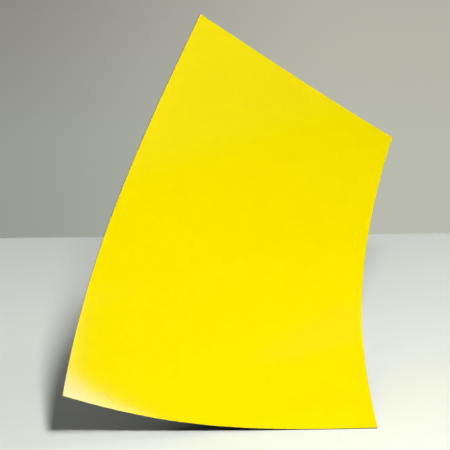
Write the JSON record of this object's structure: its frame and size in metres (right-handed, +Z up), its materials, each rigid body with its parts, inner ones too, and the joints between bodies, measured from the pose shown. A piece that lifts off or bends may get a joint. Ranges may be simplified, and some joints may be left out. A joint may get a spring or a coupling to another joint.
{
  "type": "bent two-ply plastic sheet",
  "caption": "Thin, stiff rectangular sheet with a glossy yellow face on a dark core, set in a shallow diagonal bend and standing on one end of its lower edge.",
  "frame": {"origin": "on the surface that the sheet stands on, at the middle of the sheet's bounding box seen from above", "axes": "+Z up as the sheet stands, -Y towards the viewer who faces the hollow yellow front, +X to that viewer's right"},
  "size_m": [0.3338, 0.3394, 0.3628],
  "materials": {
    "yellow_face": "smooth opaque yellow plastic with a soft gloss",
    "dark_core": "dark brown-black plastic, matt on the back, with a sheared edge"
  },
  "bodies": {
    "root": {"yellow_face": "yellow_face", "dark_core": "dark_core"}
  },
  "joints": []
}
